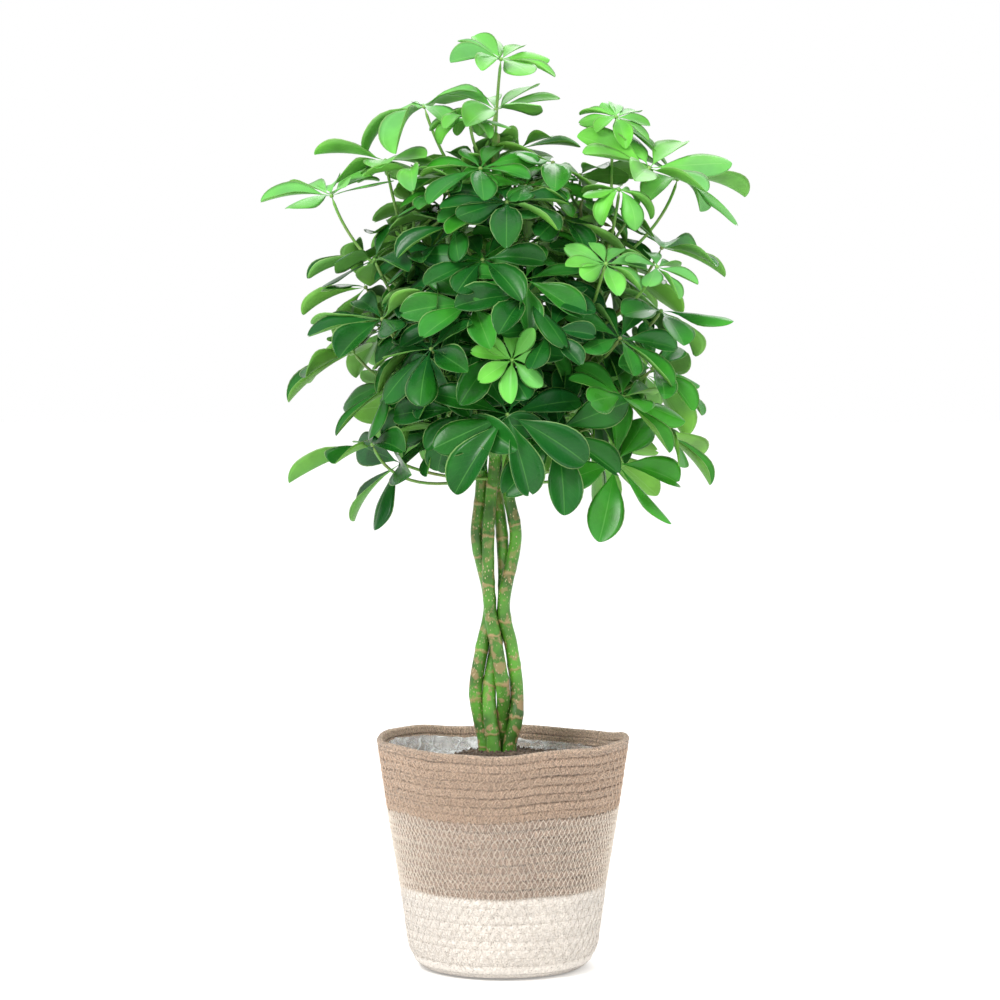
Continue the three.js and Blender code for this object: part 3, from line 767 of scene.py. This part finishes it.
class Leaflet:
    """One leaflet on a circular arc that starts at the hub and bends down."""

    def __init__(self, leaf, index, pose):
        lift, swing, share = pose
        seed = leaf["number"] * 11 + index
        fan = leaf["roll"] + swing + 9 * stray(seed * 5 + 1)
        angle = radians(fan + 360 * index / leaf["leaflets"])
        size = 0.93 + 0.08 * cos(angle) - 0.18 * spread(seed * 7)
        self.length = leaf["length"] * size * share
        self.half = leaf["length"] * size * LEAFLET_WIDTH / 2
        self.hub, (self.up, out, side) = leaf["hub"], leaf["axes"]
        self.along = out * cos(angle) + side * sin(angle)
        self.level = self.along.cross(self.up)
        self.first = radians(12 + lift + 17 * stray(seed * 13 + 4))
        self.bend = -radians(leaf["droop"] * (0.3 + 1.4 * spread(seed * 3)))
        self.bank = radians(28 * stray(seed * 17 + 2))
        self.seed = seed
        self.fullness, self.peak = (1.12, 1.25) if leaf["age"] == "young" else (1.04, 1.5)

    def spine(self, share):
        turned = self.first + self.bend * share
        reach = self.length * (sin(turned) - sin(self.first)) / self.bend
        lift = self.length * (cos(self.first) - cos(turned)) / self.bend
        plumb = self.up * cos(turned) - self.along * sin(turned)
        across = self.level * cos(self.bank) + plumb * sin(self.bank)
        normal = plumb * cos(self.bank) - self.level * sin(self.bank)
        return self.hub + self.along * reach + self.up * lift, across, normal

    def grow(self, bm, thickness, detail):
        upward = -0.5 if spread(self.seed * 9) < 0.25 else 1
        gutter = upward * (0.16 + 0.5 * spread(self.seed * 5))
        curl = upward * 0.2 * spread(self.seed * 3)
        ripple = 0.05 * self.half * (0.4 + spread(self.seed))
        notch = 0.05 if spread(self.seed * 2) > 0.72 else 0

        def outline(s):
            """Half the blade's width: a round-stalked foot, then an obovate blade."""
            if s <= 0 or s >= 1:
                return 0.0
            if s < LEAFLET_FOOT:
                return FOOT_RADIUS
            blade = (s - LEAFLET_FOOT) / (1 - LEAFLET_FOOT)
            width = self.half * self.fullness * sin(pi * blade ** self.peak) ** 0.58
            return max(FOOT_RADIUS * (1 - blade), width)

        for top in (True, False):
            def place(a, t):
                v = 2 * a - 1
                s = 1 - (1 - t) ** 2
                width = outline(s)
                dent = notch * s ** 12 * (1 - abs(v) if s < 1 else 1)
                centre, across, normal = self.spine(s - dent)
                fold = gutter * abs(v) ** 1.4 * width + curl * v ** 4 * width
                wave = ripple * v * v * sin(s * 11 + self.seed) * width / self.half
                body = thickness * (1.6 if s < LEAFLET_FOOT else 1) * (1 - v * v)
                body *= 0 if s in (0, 1) else 1
                lift = fold + wave + (body / 2 if top else -body / 2)
                return centre + across * v * width * (1 - 0.1 * abs(gutter)) + normal * lift

            sheet(bm, 8 if detail else 6, 14 if detail else 9, place,
                  lambda a, t: (1 - (1 - t) ** 2, a), 0 if top else 1)


def leaf_age(zone, i, length_mm, droop):
    """Short, hanging and topmost leaves are young; lighter grown ones are mostly on the right."""
    if droop > 70 or length_mm < 55 or (zone == "crown" and i < 10):
        return "young"
    return "middle" if zone == "right" or spread(i * 5 + len(zone)) < 0.35 else "old"


def read_leaves():
    leaves = []
    for zone, rows in LEAVES.items():
        for i, (x, y, z, facing, tilt, length_mm, leaflets, roll, droop) in enumerate(rows):
            leaves.append({
                "name": f"leaf_{zone}_{i + 1}", "number": len(leaves),
                "age": leaf_age(zone, i, length_mm, droop),
                "hub": Vector((x, y, z)), "axes": leaf_axes(facing, tilt),
                "length": length_mm, "leaflets": leaflets, "roll": roll, "droop": droop,
            })
    return leaves


def stalk_points(start, leaf, count=14):
    hub, up = leaf["hub"], leaf["axes"][0]
    elbow = hub - up * 0.45 * (hub - start).length
    shares = [i / count for i in range(count + 1)]
    return [start * (1 - t) ** 2 + elbow * 2 * t * (1 - t) + hub * t * t for t in shares]


def tree_of(node):
    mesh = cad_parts[node].data
    tree = kdtree.KDTree(len(mesh.vertices))
    for v in mesh.vertices:
        tree.insert(v.co / MM, v.index)
    tree.balance()
    return tree


def find_stalk(leaf, tree, spots):
    """The perch whose stalk the solid leaf has: its vertices ring the stalk's thirds."""
    def score(spot):
        thirds = stalk_points(spot, leaf, 3)[1:3]
        return sum(abs(tree.find(p)[2] - SOLID_STALK_RADIUS) for p in thirds)
    return min(spots, key=score)


def leaf_mesh(leaf, start, poses, settings, detail):
    bm = bmesh.new()
    places = stalk_points(start, leaf)
    thick = settings.stalk / MM
    radii = [thick * (1.25 if i < 2 else 1) for i in range(len(places))]
    rod(bm, places, radii, 7, 2, [i * 0.2 for i in range(len(places))])
    knob = Matrix.Translation(leaf["hub"] * MM)
    made = bmesh.ops.create_icosphere(bm, subdivisions=2, radius=HUB_RADIUS * MM, matrix=knob)
    for face in {f for v in made["verts"] for f in v.link_faces}:
        face.material_index = 2
        face.smooth = True
    for i, pose in enumerate(poses):
        if pose:
            Leaflet(leaf, i, pose).grow(bm, settings.leaf_thickness / MM, detail)
    return bm


def leaf_finishes(settings):
    """For each age, what a leaf's upper side, underside and stalk are made of."""
    margin = tuple(settings.margin)
    old, under = tuple(settings.old_top), tuple(settings.old_under)
    middle, fresh = tuple(settings.middle_top), tuple(settings.young_top)
    fresh_under = tuple(settings.young_under)
    old_under = leaf_material(
        "old_leaf_under", under, (0.22, 0.46, 0.12), margin, 0.5, (0.10, 0.30, 0.07))
    old_stalk = stalk_material("old_stalk", (0.12, 0.32, 0.05), (0.24, 0.28, 0.08))
    return {
        "old": [
            leaf_material(
                "old_leaf_top", old, (0.10, 0.33, 0.06), margin, 0.25, (0.007, 0.080, 0.020)),
            old_under, old_stalk,
        ],
        "middle": [
            leaf_material(
                "middle_leaf_top", middle, (0.14, 0.42, 0.08), margin, 0.28, (0.018, 0.155, 0.032)),
            old_under, old_stalk,
        ],
        "young": [
            leaf_material(
                "young_leaf_top", fresh, (0.24, 0.56, 0.14), margin, 0.34, (0.14, 0.42, 0.14)),
            leaf_material(
                "young_leaf_under", fresh_under, (0.3, 0.6, 0.18), margin, 0.5, (0.1, 0.32, 0.06)),
            stalk_material("young_stalk", (0.16, 0.42, 0.06), (0.26, 0.42, 0.1)),
        ],
    }


class UMBRELLA_OT_leaves(bpy.types.Operator):
    """Grows each leaf on its stalk, with its leaflets where the solid model has them"""
    bl_idname = "umbrella.leaves"
    bl_label = "Leaves"

    def execute(self, context):
        settings = context.scene.umbrella_plant
        finishes = leaf_finishes(settings)
        spots = perches()
        for leaf in read_leaves():
            tree = tree_of(leaf["name"])
            poses = []
            for i in range(leaf["leaflets"]):
                fits = [pose for pose in LEAFLET_POSES
                        if tree.find(Leaflet(leaf, i, pose).spine(1)[0])[2] < TIP_MATCH]
                poses.append(fits[0] if fits else None)
            bm = leaf_mesh(leaf, find_stalk(leaf, tree, spots), poses, settings, True)
            finish_piece(leaf["name"] + "_star", bm, finishes[leaf["age"]], [leaf["name"]])
        return {"FINISHED"}


class UMBRELLA_OT_inner_leaves(bpy.types.Operator):
    """Fills the shade inside the crown with older leaves"""
    bl_idname = "umbrella.inner_leaves"
    bl_label = "Inner leaves"

    def execute(self, context):
        settings = context.scene.umbrella_plant
        finishes = leaf_finishes(settings)
        spots = perches()
        count = settings.inner_leaves
        for i in range(count):
            share = (i + 0.5) / count
            age = "middle" if share > 0.84 or i % 7 == 3 else "old"
            height = 505 + 262 * share
            girth = (1 - ((height - 610) / 190) ** 2) ** 0.5
            turn = i * GOLDEN * 360
            radius = (52 + 58 * spread(i * 3 + 1)) * girth
            hub = Vector((cos(radians(turn)) * radius * 1.15, sin(radians(turn)) * radius, height))
            leaf = {
                "number": 60 + i, "hub": hub, "axes": leaf_axes(turn, 62 - 40 * share), "age": age,
                "length": 62 + 16 * spread(i * 5), "leaflets": 6 + i % 3, "roll": i * 23,
                "droop": 26,
            }
            start = min(spots, key=lambda p: abs((p - hub).length - 60)
                        + 2 * max(0, p.z - hub.z + 20))
            poses = [LEAFLET_POSES[0]] * leaf["leaflets"]
            bm = leaf_mesh(leaf, start, poses, settings, False)
            finish_piece(f"leaf_inner_{i + 1}_star", bm, finishes[age])
        return {"FINISHED"}


# ---- stage ---------------------------------------------------------------------------------------
class UMBRELLA_OT_stage(bpy.types.Operator):
    """Lays the pale floor and sets the soft lights and the camera"""
    bl_idname = "umbrella.stage"
    bl_label = "Stage"

    def execute(self, context):
        scene = context.scene
        settings = scene.umbrella_stage
        nodes = Nodes("floor", 0.9, Emission_Color=(1, 1, 1, 1), Emission_Strength=0.16)
        tone = nodes.noise(nodes.place(), 2)
        tint = tuple(settings.floor)
        pale = nodes.finish(nodes.mix(tone, tint, shade(tint, 1.02)))
        bm = bmesh.new()
        bmesh.ops.create_grid(bm, x_segments=4, y_segments=4, size=30)
        mesh = bpy.data.meshes.new("floor")
        bm.to_mesh(mesh)
        bm.free()
        mesh.materials.append(pale)
        ground = bpy.data.objects.new("floor", mesh)
        scene.collection.objects.link(ground)

        scene.world = bpy.data.worlds.new("studio")
        scene.world.use_nodes = True
        sky = scene.world.node_tree.nodes["Background"]
        sky.inputs["Color"].default_value = (1, 1, 1, 1)
        sky.inputs["Strength"].default_value = 1.0
        for name, spot, power, size in (
            ("key", (-1.3, -2.0, 2.5), 62, 1.0),
            ("fill", (2.2, -1.8, 1.2), 14, 2.0),
            ("back", (0.4, 2.0, 2.4), 24, 1.6),
        ):
            lamp = bpy.data.lights.new(name, "AREA")
            lamp.energy = power
            lamp.size = size
            light = bpy.data.objects.new(name, lamp)
            light.location = spot
            aim = Vector((0, 0, 0.45)) - light.location
            light.rotation_euler = aim.to_track_quat("-Z", "Y").to_euler()
            scene.collection.objects.link(light)

        camera = bpy.data.objects.new("camera", bpy.data.cameras.new("camera"))
        camera.data.lens = settings.lens
        camera.location = (-0.0029, -settings.distance, settings.height)
        aim = Vector((-0.0029, 0, 0.446)) - camera.location
        camera.rotation_euler = aim.to_track_quat("-Z", "Y").to_euler()
        scene.collection.objects.link(camera)
        scene.camera = camera
        scene.view_settings.view_transform = "Standard"
        return {"FINISHED"}


class UMBRELLA_PT_panel(bpy.types.Panel):
    """Lists the pieces of the umbrella tree"""
    bl_label = "Umbrella Tree"
    bl_idname = "UMBRELLA_PT_panel"
    bl_space_type = "VIEW_3D"
    bl_region_type = "UI"
    bl_category = "Umbrella Tree"

    def draw(self, context):
        layout = self.layout
        scene = context.scene
        for group in (scene.umbrella_basket, scene.umbrella_plant, scene.umbrella_stage):
            for name in group.__annotations__:
                layout.prop(group, name)
        for operator in OPERATORS:
            layout.operator(operator.bl_idname)


OPERATORS = (UMBRELLA_OT_stage, UMBRELLA_OT_basket, UMBRELLA_OT_soil, UMBRELLA_OT_stems,
             UMBRELLA_OT_leaves, UMBRELLA_OT_inner_leaves)
SETTINGS = (BasketSettings, PlantSettings, StageSettings)
CLASSES = (*SETTINGS, *OPERATORS, UMBRELLA_PT_panel)


def register():
    for cls in CLASSES:
        bpy.utils.register_class(cls)
    bpy.types.Scene.umbrella_basket = PointerProperty(type=BasketSettings)
    bpy.types.Scene.umbrella_plant = PointerProperty(type=PlantSettings)
    bpy.types.Scene.umbrella_stage = PointerProperty(type=StageSettings)


def unregister():
    del bpy.types.Scene.umbrella_stage
    del bpy.types.Scene.umbrella_plant
    del bpy.types.Scene.umbrella_basket
    for cls in reversed(CLASSES):
        bpy.utils.unregister_class(cls)


def main():
    register()
    bpy.ops.umbrella.stage()
    bpy.ops.umbrella.basket()
    bpy.ops.umbrella.soil()
    bpy.ops.umbrella.stems()
    bpy.ops.umbrella.leaves()
    bpy.ops.umbrella.inner_leaves()


if __name__ == "__main__":
    main()
